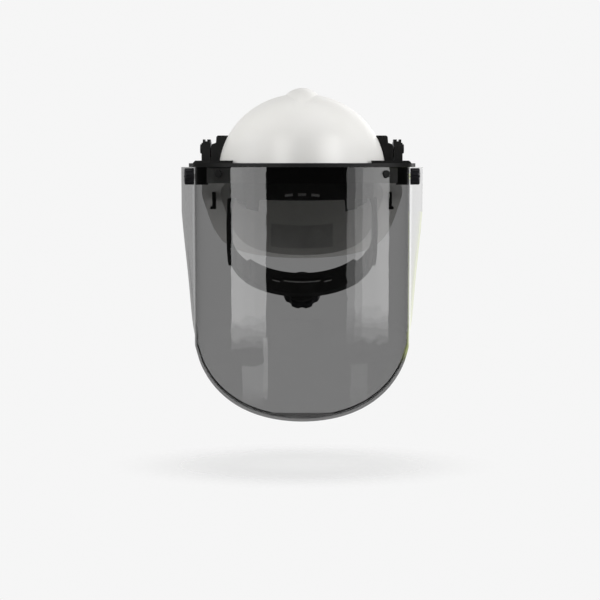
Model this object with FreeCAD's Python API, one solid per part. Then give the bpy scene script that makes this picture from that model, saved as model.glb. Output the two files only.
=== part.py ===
import FreeCAD, Part
import math
import os

from FreeCAD import Vector

# Hard hat with a hinged face-shield carrier, a clear-tinted visor and a ratchet suspension.
# Millimetres. +Z is up, the wearer looks along -Y, the wearer's left is +X.
# The origin is where the head carries the hat: on the centre plane, level with the side rim.

# ---- Driving dimensions ----------------------------------------------------------------------
HAT_TILT = 18.0            # the shell sits tipped back on the head by this angle, degrees
BAND_TILT = 36.0           # the headband hangs lower still at the nape
BAND_ORIGIN = (0.0, -19.0, -64.0)

DOME_HALF_WIDTH = 98.8
DOME_HALF_LENGTH = 125.0
DOME_RISE = 88.0           # height of the rounded part above the straight skirt
SKIRT_TOP = 28.0
WALL = 2.5
RIDGE_HALF_WIDTH = 48.0    # semi-axis of the crown ridge; it shows about 21 each side
RIDGE_HALF_LENGTH = 120.4
RIDGE_RISE = 97.0
RIM_HALF_WIDTH = 118.5
RIM_REAR = 139.0
PEAK_FRONT = 165.0
RIM_THICK = 3.0
GUTTER_WALL = 2.4
GUTTER_HEIGHT = 7.5

RIM_Z = 36.0               # height of the carrier's rim, the plane the visor hangs from
PIVOT_Z = RIM_Z + 19.0
DOME_GAP = 4.0             # room between the dome and the carrier's plate

VISOR_HALF_WIDTH = 118.5   # to the middle of the sheet, at its widest front part
VISOR_BEND_DEPTH = 62.0    # how far the front bulges ahead of that width
VISOR_BEND_Y = -120.0
FLARE_RADIUS = 187.0
FLARE_ANGLE = 14.0
VISOR_REAR_Y = -4.0
VISOR_THICK = 2.0
VISOR_TOP = RIM_Z - 2.4
VISOR_HEIGHT = 271.6

CLAMP_Y = -92.0
CLAMP_Z = RIM_Z - 12.7
KNOB_RADIUS = 9.3
KNOB_THICK = 10.0
RIVET_RADIUS = 1.9

BAND_RADIUS = 83.4         # inside radius of the headband's round ends
BAND_THICK = 1.8
BAND_HEIGHT = 30.0
BAND_END_Y = 22.0          # centre of each round end, from the middle of the band

PINION_TEETH = 10
PINION_PITCH_RADIUS = 5.5
PINION_Z = BAND_HEIGHT / 2.0
TAIL_THICK = 1.2
LEFT_TAIL_RADIUS = 80.2
RIGHT_TAIL_RADIUS = 81.8

SCREW_X = 114.0            # the screws that hold the pivot uprights stand this far out
SHAFT_CLEARANCE = 0.05
FAR = 400.0


# ---- Helpers ---------------------------------------------------------------------------------
def export(shape, name):
    """Write one node and report its solids and volume."""
    solids = shape.Solids
    kept = solids[0] if len(solids) == 1 else Part.Compound(solids)
    kept.exportStep(os.path.join("parts", name + ".step"))
    print("%-22s solids %d  volume %10.1f  valid %s" % (name, len(solids), shape.Volume, kept.isValid()))


def box(x0, x1, y0, y1, z0, z1):
    return Part.makeBox(x1 - x0, y1 - y0, z1 - z0, Vector(x0, y0, z0))


def mirrored(shape):
    """The same piece on the wearer's other side."""
    return shape.mirror(Vector(0, 0, 0), Vector(1, 0, 0))


def tilted(shape, angle, origin=(0.0, 0.0, 0.0)):
    """Turn a shape about the side-to-side axis so that its rear drops, then move it to origin."""
    turned = shape.copy()
    turned.rotate(Vector(0, 0, 0), Vector(1, 0, 0), -angle)
    turned.translate(Vector(*origin))
    return turned


def in_hat(shape):
    return tilted(shape, HAT_TILT)


def in_band(shape):
    return tilted(shape, BAND_TILT, BAND_ORIGIN)


def face_of(edges):
    return Part.Face(Part.Wire(edges))


def polygon(points):
    return Part.makePolygon(points + [points[0]])


def side_prism(points, half_width=FAR):
    """A (y, z) outline in the centre plane, extruded to both sides."""
    outline = Part.Face(polygon([Vector(-half_width, y, z) for y, z in points]))
    return outline.extrude(Vector(2 * half_width, 0, 0))


def front_prism(points, y0, y1):
    """An (x, z) outline extruded from y0 to y1."""
    outline = Part.Face(polygon([Vector(x, y0, z) for x, z in points]))
    return outline.extrude(Vector(0, y1 - y0, 0))


def ellipse_edge(half_x, half_y, z, centre_y=0.0):
    centre = Vector(0, centre_y, z)
    if half_x >= half_y:
        return Part.Ellipse(centre + Vector(half_x, 0, 0), centre + Vector(0, half_y, 0), centre).toShape()
    return Part.Ellipse(centre + Vector(0, half_y, 0), centre + Vector(half_x, 0, 0), centre).toShape()


def elliptic_column(half_x, half_y, z0, z1):
    return face_of([ellipse_edge(half_x, half_y, z0)]).extrude(Vector(0, 0, z1 - z0))


def half_ellipsoid(half_x, half_y, height):
    """The upper half of an ellipsoid that stands on the skirt's top plane."""
    half_ball = Part.makeSphere(1.0, Vector(0, 0, 0), Vector(0, 0, 1), 0, 90, 360)
    stretch = FreeCAD.Matrix()
    stretch.scale(half_x, half_y, height)
    shape = half_ball.transformGeometry(stretch)
    shape.translate(Vector(0, 0, SKIRT_TOP))
    return shape


def arc_wall(r_in, r_out, z0, z1, centre_y, middle, half_angle):
    """A curved wall about (0, centre_y); angles in degrees from +X, counter-clockwise."""
    pieces = []
    for radius in (r_out, r_in):
        slice_ = Part.makeCylinder(radius, z1 - z0, Vector(0, 0, z0), Vector(0, 0, 1), 2 * half_angle)
        slice_.rotate(Vector(0, 0, 0), Vector(0, 0, 1), middle - half_angle)
        slice_.translate(Vector(0, centre_y, 0))
        pieces.append(slice_)
    return pieces[0].cut(pieces[1])


def rod(radius, start, end):
    start = Vector(*start)
    end = Vector(*end)
    return Part.makeCylinder(radius, (end - start).Length, start, end - start)


def ring(r_in, r_out, start, end):
    return rod(r_out, start, end).cut(rod(r_in, start, end))


# ---- Shell -----------------------------------------------------------------------------------
def rim_curve(lift):
    """The rim seen from the side, in the hat's own frame: it drops behind the ears and at the peak."""
    points = [(-172.0, -29.0), (-128.0, -10.5), (-95.0, -4.5), (-50.0, -0.8), (0.0, 0.0),
              (25.0, -5.0), (52.0, -20.5), (79.0, -35.0), (105.0, -40.5), (150.0, -41.0)]
    curve = Part.BSplineCurve()
    curve.interpolate([Vector(-FAR, y, z + lift) for y, z in points])
    return curve.toShape()


def rim_band(lift_low, lift_high):
    """Everything between two copies of the rim curve, from side to side."""
    low = rim_curve(lift_low)
    high = rim_curve(lift_high)
    front = Part.makeLine(low.Vertexes[0].Point, high.Vertexes[0].Point)
    rear = Part.makeLine(low.Vertexes[-1].Point, high.Vertexes[-1].Point)
    return face_of([low, rear, high, front]).extrude(Vector(2 * FAR, 0, 0))


def rim_plan(inset, z0, z1):
    """The rim seen from above: a short ellipse behind, a longer one for the peak in front."""
    rear = elliptic_column(RIM_HALF_WIDTH - inset, RIM_REAR - inset, z0, z1)
    rear = rear.common(box(-FAR, FAR, 0, FAR, z0, z1))
    front = elliptic_column(RIM_HALF_WIDTH - inset, PEAK_FRONT - inset, z0, z1)
    front = front.common(box(-FAR, FAR, -FAR, 0, z0, z1))
    return rear.fuse(front).removeSplitter()


def dome_solid(growth, ridge=True):
    """The dome and skirt as one solid, grown by the given amount all round."""
    skirt = elliptic_column(DOME_HALF_WIDTH + growth, DOME_HALF_LENGTH + growth, -80, SKIRT_TOP)
    solid = skirt.fuse(half_ellipsoid(DOME_HALF_WIDTH + growth, DOME_HALF_LENGTH + growth, DOME_RISE + growth))
    if ridge:
        crest = half_ellipsoid(RIDGE_HALF_WIDTH + growth, RIDGE_HALF_LENGTH + growth, RIDGE_RISE + growth)
        solid = solid.fuse(crest)
    return solid


def slot_blade(growth):
    """The tongue of the left accessory adapter; the shell's slot is the same shape, a little larger."""
    return box(102.4 - growth, 106.0 + growth, -11.0 - growth, 11.0 + growth, -16.0, 9.0)


def make_shell():
    inside = dome_solid(-WALL)
    walls = dome_solid(0).cut(inside).cut(rim_band(-90, 0))
    rim = rim_plan(0, -60, 40).common(rim_band(0, RIM_THICK)).cut(inside)
    gutter_plan = rim_plan(0, -60, 40).cut(rim_plan(GUTTER_WALL, -60, 40))
    gutter = gutter_plan.common(rim_band(0, GUTTER_HEIGHT)).cut(box(-FAR, FAR, -FAR, -62, -80, 80))
    shell = in_hat(walls.fuse(rim).fuse(gutter))
    slot = slot_blade(0.3)
    return shell.cut(slot).cut(mirrored(slot))


def make_rear_label():
    """A thin plate stuck on the inside of the shell's back."""
    outer = dome_solid(-WALL - 0.05, ridge=False)
    inner = dome_solid(-WALL - 0.55, ridge=False)
    window = box(-39, 39, 60, FAR, -33, -3)
    return in_hat(outer.cut(inner).common(window))


# ---- Suspension ------------------------------------------------------------------------------
STRAP_SPAN = 98.5
STRAP_BASE_Z = 4.0
STRAP_HEIGHT = 78.0
STRAP_WIDTH = 19.0
STRAP_THICK = 1.4
FRONT_KEY_ANGLE = 46.0     # where on the shell's inner wall the keys sit, as an ellipse parameter
REAR_KEY_ANGLE = 38.0
REAR_KEY_LIFT = 16.0       # the rear keys stand higher, where the skirt is deeper
HANGER_THICK = 1.6

HEADBAND_END_ANGLE = 55.0  # the band stops this far from the middle of the back
HOUSING_HALF_ANGLE = 54.5
BAND_LOW = -10.0           # reach of the tall wall that the headband is cut from
BAND_HIGH = 105.0
BROW_LOW = -3.0            # the brow band is level between these two heights
BROW_HIGH = 26.0
TEMPLE_Y = -38.0           # where the brow band turns down to the nape


def wall_point(angle, z, inset):
    """A point near the shell's inner wall and the wall's outward normal there."""
    t = math.radians(angle)
    half_x = DOME_HALF_WIDTH - WALL
    half_y = DOME_HALF_LENGTH - WALL
    normal = Vector(math.cos(t) / half_x, math.sin(t) / half_y, 0)
    normal.normalize()
    point = Vector(half_x * math.cos(t), half_y * math.sin(t), z)
    return point - normal * inset, normal


def make_crown_strap(angle, lift):
    """A webbing strap that arches from a front key over the head to the opposite rear key."""
    bands = []
    for inset in (0.0, STRAP_THICK):
        half_span = STRAP_SPAN - inset
        rise = STRAP_HEIGHT + lift - inset
        centre = Vector(0, 0, STRAP_BASE_Z)
        if half_span > rise:
            curve = Part.Ellipse(centre + Vector(half_span, 0, 0), centre + Vector(0, 0, rise), centre)
        else:
            curve = Part.Ellipse(centre + Vector(0, 0, rise), centre + Vector(half_span, 0, 0), centre)
        bands.append(face_of([curve.toShape()]).extrude(Vector(0, STRAP_WIDTH, 0)))
    strap = bands[0].cut(bands[1]).common(box(-FAR, FAR, -FAR, FAR, STRAP_BASE_Z, FAR))
    strap.translate(Vector(0, -STRAP_WIDTH / 2.0, 0))
    strap.rotate(Vector(0, 0, 0), Vector(0, 0, 1), angle)
    return in_hat(strap)


def make_key(angle, lift):
    """The plastic key that plugs into the shell's rim and carries a strap and the headband."""
    point, normal = wall_point(angle, lift, 3.3)
    turn = math.degrees(math.atan2(normal.y, normal.x))
    plate = box(-1.6, 1.6, -12, 12, -6, 20)
    plate = plate.makeFillet(1.2, [e for e in plate.Edges if e.Length > 20])
    loop = box(-4.4, -1.6, -11.5, 11.5, 6, 9).fuse(box(-4.4, -1.6, -11.5, 11.5, -4, -1))
    key = plate.fuse(loop)
    key.rotate(Vector(0, 0, 0), Vector(0, 0, 1), turn)
    key.translate(point)
    return key


def make_keys():
    left = [make_key(-FRONT_KEY_ANGLE, 0.0), make_key(REAR_KEY_ANGLE, REAR_KEY_LIFT)]
    return in_hat(Part.Compound(left + [mirrored(key) for key in left]))


def band_column(radius, z0, z1):
    """The headband's plan as a solid: two half circles joined by straight sides."""
    ends = [Part.makeCylinder(radius, z1 - z0, Vector(0, y, z0)) for y in (-BAND_END_Y, BAND_END_Y)]
    return ends[0].fuse(ends[1]).fuse(box(-radius, radius, -BAND_END_Y, BAND_END_Y, z0, z1))


def band_wall(r_in, r_out):
    """A wall with the headband's plan, tall enough to cut any of its parts from, in the part's frame."""
    wall = band_column(r_out, BAND_LOW, BAND_HIGH).cut(band_column(r_in, BAND_LOW, BAND_HIGH))
    return in_band(wall)


def band_point(x, y, z):
    """A point given in the headband's frame, in the part's own frame."""
    turned = FreeCAD.Rotation(Vector(1, 0, 0), -BAND_TILT).multVec(Vector(x, y, z))
    return turned + Vector(*BAND_ORIGIN)


def side_point(y, z):
    """A (y, z) pair in the part's own frame for a point of the headband's centre plane."""
    point = band_point(0, y, z)
    return point.y, point.z


def make_headband():
    """A level brow band whose arms turn down at the temples and run back to the ratchet."""
    brow = [(-140.0, BROW_LOW), (TEMPLE_Y, BROW_LOW)]
    arm_front = [side_point(0, 0), side_point(95, 0)]
    arm_rear = [side_point(95, BAND_HEIGHT), side_point(24, BAND_HEIGHT), (-2.0, BROW_HIGH)]
    outline = brow + arm_front + arm_rear + [(-140.0, BROW_HIGH)]
    band = band_wall(BAND_RADIUS, BAND_RADIUS + BAND_THICK).common(side_prism(outline))
    rib_side = [(TEMPLE_Y, BROW_LOW), side_point(0, 0), side_point(34, 0), side_point(34, 9), (-20.0, BROW_LOW)]
    rib = band_wall(BAND_RADIUS + 0.5, BAND_RADIUS + BAND_THICK + 3.4).common(side_prism(rib_side))
    gap = Part.makeCylinder(2 * BAND_RADIUS, BAND_HIGH, Vector(0, 0, 0), Vector(0, 0, 1), 2 * HEADBAND_END_ANGLE)
    gap.rotate(Vector(0, 0, 0), Vector(0, 0, 1), 90 - HEADBAND_END_ANGLE)
    gap.translate(Vector(0, BAND_END_Y, BAND_LOW))
    band = band.fuse(rib).cut(in_band(gap))
    band = band.cut(in_band(box(-FAR, FAR, 2.0, 16.0, 16.0, 19.0)))
    front_y = -BAND_END_Y - BAND_RADIUS - BAND_THICK
    for angle in (-10.0, 0.0, 10.0):
        hook = box(-4.5, 4.5, front_y - 1.2, front_y + 1.0, 2.0, 6.5)
        hook.rotate(Vector(0, -BAND_END_Y, 0), Vector(0, 0, 1), angle)
        band = band.fuse(in_band(hook))
    return band


def make_brow_pad():
    """The sweat pad inside the front of the headband."""
    pad = arc_wall(BAND_RADIUS - 8.0, BAND_RADIUS - 0.3, BAND_LOW, BAND_HIGH, -BAND_END_Y, -90.0, 66.0)
    low = BROW_LOW - 0.5
    high = BROW_HIGH - 2.0
    return in_band(pad).common(side_prism([(-140.0, low), (0.0, low), (0.0, high), (-140.0, high)]))


def hanger(start, end, across, width):
    """A flat strap from start to end; across is roughly the direction of its width."""
    along = (end - start).normalize()
    depth = along.cross(across).normalize()
    half = depth.cross(along).normalize() * (width / 2.0)
    strip = Part.Face(polygon([start - half, start + half, end + half, end - half]))
    return strip.extrude(depth * HANGER_THICK)


def make_hangers():
    """Straps that tie the headband to the keys: level tabs in front, long side straps behind."""
    to_hat = FreeCAD.Rotation(Vector(1, 0, 0), -HAT_TILT)

    def band_end(angle, z, gap):
        t = math.radians(angle)
        reach = BAND_RADIUS + BAND_THICK + gap
        return band_point(reach * math.cos(t), -BAND_END_Y + reach * math.sin(t), z)

    key, normal = wall_point(-FRONT_KEY_ANGLE, -2.5, 11.0)
    tangent = Vector(-normal.y, normal.x, 0)
    front = hanger(to_hat.multVec(key), band_end(-43.0, 43.0, 4.6), to_hat.multVec(tangent), 9.0)
    key, normal = wall_point(REAR_KEY_ANGLE, REAR_KEY_LIFT + 3.0, 6.8)
    side = hanger(to_hat.multVec(key), band_end(-11.0, 77.0, 5.0), to_hat.multVec(Vector(0, 0, 1)), 6.0)
    return Part.Compound([front, side, mirrored(front), mirrored(side)])


# ---- Ratchet ---------------------------------------------------------------------------------
RACK_PITCH = 2 * math.pi * PINION_PITCH_RADIUS / PINION_TEETH
ADDENDUM = 0.85
DEDENDUM = 1.1
TAIL_Z0 = 4.0
TAIL_Z1 = 26.0
TAIL_START = -19.5         # degrees past the middle of the back, at rest
TAIL_STOP = 76.0
BOSS_Y = BAND_END_Y + 88.5
KNOB_Y = BOSS_Y + 0.5
RATCHET_KNOB_THICK = 13.0
RATCHET_KNOB_RADIUS = 23.5


def make_tail(radius, rack_side):
    """One end of the nape strap: a curved strip with a toothed slot that the pinion drives.

    rack_side is +1 when the teeth are on the slot's upper edge, -1 on its lower edge.
    The strip runs towards +X; the other one is its mirror image with the teeth below.
    """
    middle = 90.0 - (TAIL_START + TAIL_STOP) / 2.0
    half = (TAIL_STOP - TAIL_START) / 2.0
    strip = arc_wall(radius, radius + TAIL_THICK, TAIL_Z0, TAIL_Z1, BAND_END_Y, middle, half)
    slot_half = PINION_PITCH_RADIUS + DEDENDUM
    far_edge = PINION_Z - rack_side * (slot_half + 0.6)
    near_edge = PINION_Z + rack_side * slot_half
    z_low, z_high = sorted((far_edge, near_edge))
    strip = strip.cut(arc_wall(radius - 1, radius + 3, z_low, z_high, BAND_END_Y, 90.0, 15.5))
    pitch_angle = math.degrees(RACK_PITCH / (radius + TAIL_THICK / 2.0))
    tooth_root = 1.05
    tooth_tip = 0.42
    tip_z = PINION_Z + rack_side * (PINION_PITCH_RADIUS - ADDENDUM)
    y0 = BAND_END_Y + radius - 0.4
    y1 = BAND_END_Y + radius + TAIL_THICK + 0.4
    ribbon = arc_wall(radius, radius + TAIL_THICK, TAIL_Z0, TAIL_Z1, BAND_END_Y, 90.0, 16.0)
    root_z = near_edge + rack_side * 0.5
    outline = [(-tooth_root, root_z), (tooth_root, root_z), (tooth_tip, tip_z), (-tooth_tip, tip_z)]
    teeth = []
    for index in range(-6, 6):
        tooth = front_prism(outline, y0, y1)
        tooth.rotate(Vector(0, BAND_END_Y, 0), Vector(0, 0, 1), (index + 0.5) * pitch_angle)
        teeth.append(tooth)
    comb = teeth[0].fuse(teeth[1:]).common(ribbon)
    for hole in range(4):
        bore = rod(2.0, (0, BAND_END_Y, PINION_Z), (0, 2 * FAR, PINION_Z))
        bore.rotate(Vector(0, BAND_END_Y, 0), Vector(0, 0, 1), -(24.0 + 8.0 * hole))
        strip = strip.cut(bore)
    return strip.fuse(comb)


def make_ratchet_housing():
    """The outer half of the nape housing, with flanges round the strap ends and a round boss."""
    back = BAND_RADIUS - 0.1
    wall = arc_wall(back, back + 2.6, 0, BAND_HEIGHT, BAND_END_Y, 90.0, HOUSING_HALF_ANGLE)
    for z0 in (0.0, BAND_HEIGHT - 2.0):
        wall = wall.fuse(arc_wall(77.4, back + 1.0, z0, z0 + 2.0, BAND_END_Y, 90.0, HOUSING_HALF_ANGLE))
    boss = rod(21.0, (0, BAND_END_Y + back + 1.0, PINION_Z), (0, BOSS_Y, PINION_Z))
    boss = boss.cut(ring(8.0, 17.0, (0, BOSS_Y - 3.0, PINION_Z), (0, BOSS_Y + 1.0, PINION_Z)))
    housing = wall.fuse(boss)
    bore = rod(4.0 + SHAFT_CLEARANCE, (0, 0, PINION_Z), (0, FAR, PINION_Z))
    return in_band(housing.cut(bore))


def make_ratchet_cover():
    """The inner half of the nape housing, with three windows."""
    cover = arc_wall(77.4, 79.4, 2.2, BAND_HEIGHT - 2.2, BAND_END_Y, 90.0, HOUSING_HALF_ANGLE - 0.5)
    cover = cover.cut(box(-24, 24, 0, FAR, 17.5, 21.0))
    for side in (-1, 1):
        cover = cover.cut(box(side * 32 - 5, side * 32 + 5, 0, FAR, 15.0, 18.0))
    return in_band(cover)


def make_detent_spring():
    """A flat spring ring with two bent pawls that click against the knob."""
    y0 = BOSS_Y - 2.6
    body = ring(10.0, 12.5, (0, y0, PINION_Z), (0, y0 + 1.0, PINION_Z))
    for angle in (0.0, 180.0):
        pawl = box(11.5, 15.5, y0, y0 + 1.0, PINION_Z - 1.5, PINION_Z + 1.5)
        pawl = pawl.fuse(box(14.0, 15.5, y0, BOSS_Y - 0.2, PINION_Z - 1.5, PINION_Z + 1.5))
        pawl.rotate(Vector(0, 0, PINION_Z), Vector(0, 1, 0), angle)
        body = body.fuse(pawl)
    return in_band(body)


def make_pinion():
    """The small gear that drives both strap ends, with the shaft that the knob turns."""
    y0 = BAND_END_Y + 79.7
    y1 = BAND_END_Y + BAND_RADIUS - 0.4
    gear = rod(PINION_PITCH_RADIUS - DEDENDUM, (0, y0, PINION_Z), (0, y1, PINION_Z))
    outline = [(-0.95, 3.6), (0.95, 3.6), (0.6, PINION_PITCH_RADIUS), (0.3, PINION_PITCH_RADIUS + ADDENDUM),
               (-0.3, PINION_PITCH_RADIUS + ADDENDUM), (-0.6, PINION_PITCH_RADIUS)]
    for index in range(PINION_TEETH):
        tooth = front_prism(outline, y0, y1)
        tooth.rotate(Vector(0, 0, 0), Vector(0, 1, 0), index * 360.0 / PINION_TEETH)
        tooth.translate(Vector(0, 0, PINION_Z))
        gear = gear.fuse(tooth)
    shaft = rod(4.0, (0, y1 - 0.5, PINION_Z), (0, KNOB_Y + 7.0, PINION_Z))
    bore = rod(1.5, (0, y0 + 1.5, PINION_Z), (0, FAR, PINION_Z))
    return in_band(gear.fuse(shaft).cut(bore))


def make_ratchet_knob():
    """An eight-lobed hand knob with a domed rim and a recess for its screw."""
    start = (0, KNOB_Y, PINION_Z)
    end = (0, KNOB_Y + RATCHET_KNOB_THICK, PINION_Z)
    knob = rod(RATCHET_KNOB_RADIUS, start, end)
    knob = knob.makeFillet(2.2, [e for e in knob.Edges if abs(e.CenterOfMass.y - end[1]) < 0.01])
    scallop_centre = RATCHET_KNOB_RADIUS + 3.6
    for index in range(8):
        cutter = rod(6.4, (scallop_centre, KNOB_Y - 1, 0), (scallop_centre, end[1] + 1, 0))
        cutter.rotate(Vector(0, 0, 0), Vector(0, 1, 0), index * 45.0)
        cutter.translate(Vector(0, 0, PINION_Z))
        knob = knob.cut(cutter)
    knob = knob.cut(rod(4.0, start, (0, KNOB_Y + 7.0, PINION_Z)))
    knob = knob.cut(rod(1.6, start, end))
    recess = rod(12.0, (0, end[1] - 2.0, PINION_Z), (0, end[1] + 1, PINION_Z))
    knob = knob.cut(recess).cut(rod(4.2, (0, end[1] - 4.5, PINION_Z), end))
    teeth_race = ring(15.9, 16.8, (0, KNOB_Y - 0.01, PINION_Z), (0, KNOB_Y + 0.6, PINION_Z))
    return in_band(knob.cut(teeth_race))


def make_ratchet_screw():
    head_y = KNOB_Y + RATCHET_KNOB_THICK - 4.5
    head = rod(3.8, (0, head_y, PINION_Z), (0, head_y + 2.2, PINION_Z))
    slot = box(-0.5, 0.5, head_y + 1.2, head_y + 3, PINION_Z - 5, PINION_Z + 5)
    cross = box(-5, 5, head_y + 1.2, head_y + 3, PINION_Z - 0.5, PINION_Z + 0.5)
    shank = rod(1.5, (0, BAND_END_Y + 82.0, PINION_Z), (0, head_y, PINION_Z))
    return in_band(head.cut(slot).cut(cross).fuse(shank))


# ---- Carrier, the frame that the visor hangs from -------------------------------------------
def plan_edges(offset, rear_y):
    """The visor's curve seen from above, moved outwards by offset, from the left rear round to the right."""
    half_width = VISOR_HALF_WIDTH + offset
    depth = VISOR_BEND_DEPTH + offset
    centre = Vector(0, VISOR_BEND_Y, 0)
    oval = Part.Ellipse(centre + Vector(half_width, 0, 0), centre + Vector(0, depth, 0), centre)
    front = Part.ArcOfEllipse(oval, math.pi, 2 * math.pi).toShape()
    radius = FLARE_RADIUS - offset

    def flare_point(angle):
        t = math.radians(angle)
        x = VISOR_HALF_WIDTH + FLARE_RADIUS - radius * math.cos(t)
        return Vector(x, VISOR_BEND_Y + radius * math.sin(t), 0)

    bend_end = flare_point(FLARE_ANGLE)
    if rear_y > bend_end.y:
        arc = Part.Arc(flare_point(0), flare_point(FLARE_ANGLE / 2), bend_end).toShape()
        rear = Vector(bend_end.x + (rear_y - bend_end.y) * math.tan(math.radians(FLARE_ANGLE)), rear_y, 0)
        sides = [arc, Part.makeLine(bend_end, rear)]
    else:
        stop = math.degrees(math.asin((rear_y - VISOR_BEND_Y) / radius))
        rear = flare_point(stop)
        sides = [Part.Arc(flare_point(0), flare_point(stop / 2), rear).toShape()]
    others = [edge.mirror(Vector(0, 0, 0), Vector(1, 0, 0)) for edge in sides]
    return others, front, sides, rear


def plan_region(offset, rear_y, z0, z1):
    """Everything inside the visor's curve, ahead of rear_y."""
    others, front, sides, rear = plan_edges(offset, rear_y)
    back = Part.makeLine(rear, Vector(-rear.x, rear.y, 0))
    wire = Part.Wire(Part.__sortEdges__(others + [front] + sides + [back]))
    solid = Part.Face(wire).extrude(Vector(0, 0, z1 - z0))
    solid.translate(Vector(0, 0, z0))
    return solid


def plan_band(offset_in, offset_out, rear_y, z0, z1):
    """A wall that follows the visor's curve."""
    return plan_region(offset_out, rear_y, z0, z1).cut(plan_region(offset_in, rear_y + 20.0, z0 - 1, z1 + 1))


LIP_REAR_Y = -65.5          # the lip over the visor ends here, and the arms carry on to the pivots
SKIRT_REAR_Y = -104.0
SKIRT_LOW = RIM_Z - 19.5
ARM_OUT = 124.0
ARM_TOP = RIM_Z + 5.0
ARM_IN = 108.0
ARM_REAR_Y = 17.0


def make_crown_guard():
    """The frame: a plate round the dome, a lip over the visor's top edge, a skirt and two arms."""
    plate = plan_region(2.6, LIP_REAR_Y, RIM_Z - 0.3, RIM_Z + 2.0)
    lip = plan_band(-2.0, 2.6, LIP_REAR_Y, RIM_Z - 2.3, RIM_Z + 2.0)
    skirt = plan_band(-3.6, -1.1, SKIRT_REAR_Y, SKIRT_LOW, RIM_Z)
    arm_points = [(70.0, LIP_REAR_Y - 10), (ARM_OUT, LIP_REAR_Y - 6), (ARM_OUT, 8.0), (ARM_OUT - 7, ARM_REAR_Y),
                  (70.0, ARM_REAR_Y)]
    arm_face = Part.Face(polygon([Vector(x, y, RIM_Z - 2.3) for x, y in arm_points]))
    arm = arm_face.extrude(Vector(0, 0, ARM_TOP - RIM_Z + 2.3))
    bevel = [(ARM_OUT - 2.6, ARM_TOP), (ARM_OUT, ARM_TOP - 2.6), (ARM_OUT + 9, ARM_TOP - 2.6), (ARM_OUT + 9, ARM_TOP)]
    arm = arm.cut(front_prism(bevel, -FAR, FAR))
    rear_pocket = box(60.0, ARM_IN, -30.0, 40.0, RIM_Z - 10, RIM_Z + 10)
    arm = arm.cut(rear_pocket)
    crossing = in_hat(dome_solid(DOME_GAP))
    guard = plate.fuse([lip, skirt, arm, mirrored(arm)])
    guard = guard.cut(crossing)
    guard = guard.cut(box(-ARM_IN, ARM_IN, -30.0, 60.0, RIM_Z - 10, RIM_Z + 10))
    for hole in upright_screw_holes() + rivet_holes():
        guard = guard.cut(hole)
    return max(guard.Solids, key=lambda solid: solid.Volume)


def upright_screw_holes():
    """Holes for the screws that hold the pivot uprights down on the arms."""
    holes = []
    for side in (-1, 1):
        for y in (-8.0, 8.0):
            holes.append(rod(1.3, (side * SCREW_X, y, RIM_Z - 5), (side * SCREW_X, y, RIM_Z + 14)))
    return holes


def make_upright():
    """The left ear that turns on the pivot pin, notched along its top."""
    low = RIM_Z + 5.0
    side = [(-13.0, low), (13.0, low), (12.0, RIM_Z + 22.0), (8.5, RIM_Z + 30.0), (-8.5, RIM_Z + 30.0),
            (-12.0, RIM_Z + 22.0)]
    ear = Part.Face(polygon([Vector(108.1, y, z) for y, z in side])).extrude(Vector(10.1, 0, 0))
    ear = ear.cut(box(111.6, 114.6, -20, 20, RIM_Z + 27.8, RIM_Z + 40))
    ear = ear.cut(box(116.8, 130, -20, 20, RIM_Z + 26.0, RIM_Z + 40))
    ear = ear.cut(rod(3.5 + SHAFT_CLEARANCE, (100, 0, PIVOT_Z), (130, 0, PIVOT_Z)))
    for hole in upright_screw_holes():
        ear = ear.cut(hole)
    return ear


def make_upright_screws():
    screws = []
    for side in (-1, 1):
        for y in (-8.0, 8.0):
            head = rod(2.6, (side * SCREW_X, y, RIM_Z - 4.2), (side * SCREW_X, y, RIM_Z - 2.3))
            head = head.cut(box(side * SCREW_X - 3, side * SCREW_X + 3, y - 0.4, y + 0.4, RIM_Z - 5, RIM_Z - 3.4))
            screws.append(head.fuse(rod(1.25, (side * SCREW_X, y, RIM_Z - 2.5), (side * SCREW_X, y, RIM_Z + 13))))
    return Part.Compound(screws)


def make_slot_adapter():
    """The left block that plugs into the shell's accessory slot and holds the pivot pin."""
    outline = [(84.0, RIM_Z + 34.5), (99.0, RIM_Z + 34.5), (100.6, RIM_Z + 33.0), (101.2, RIM_Z + 26.0),
               (105.6, RIM_Z + 24.6), (107.0, RIM_Z + 22.0), (107.0, 10.0), (105.0, 8.0), (98.0, 8.0),
               (84.0, 8.0)]
    block = front_prism(outline, -12.0, 12.0)
    block = block.cut(in_hat(dome_solid(0.6, ridge=False)))
    block = max(block.Solids, key=lambda solid: solid.Volume)
    hook = box(102.4, 108.4, -11.0, 11.0, -16.0, -13.0)
    adapter = block.fuse(slot_blade(0)).fuse(hook)
    return adapter.cut(rod(3.5, (80, 0, PIVOT_Z), (130, 0, PIVOT_Z)))


def make_pivot_pin():
    """The left pivot pin: a shank through the ear and a low head outside it."""
    shank = rod(3.5, (100.4, 0, PIVOT_Z), (118.6, 0, PIVOT_Z))
    head = rod(5.6, (118.5, 0, PIVOT_Z), (120.4, 0, PIVOT_Z))
    head = head.makeFillet(0.9, [e for e in head.Edges if abs(e.CenterOfMass.x - 120.4) < 0.01])
    slot = box(119.6, 121, -4, 4, PIVOT_Z - 0.6, PIVOT_Z + 0.6)
    return head.cut(slot).fuse(shank)


def make_friction_washer():
    return ring(3.6, 8.0, (107.05, 0, PIVOT_Z), (107.85, 0, PIVOT_Z))


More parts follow.
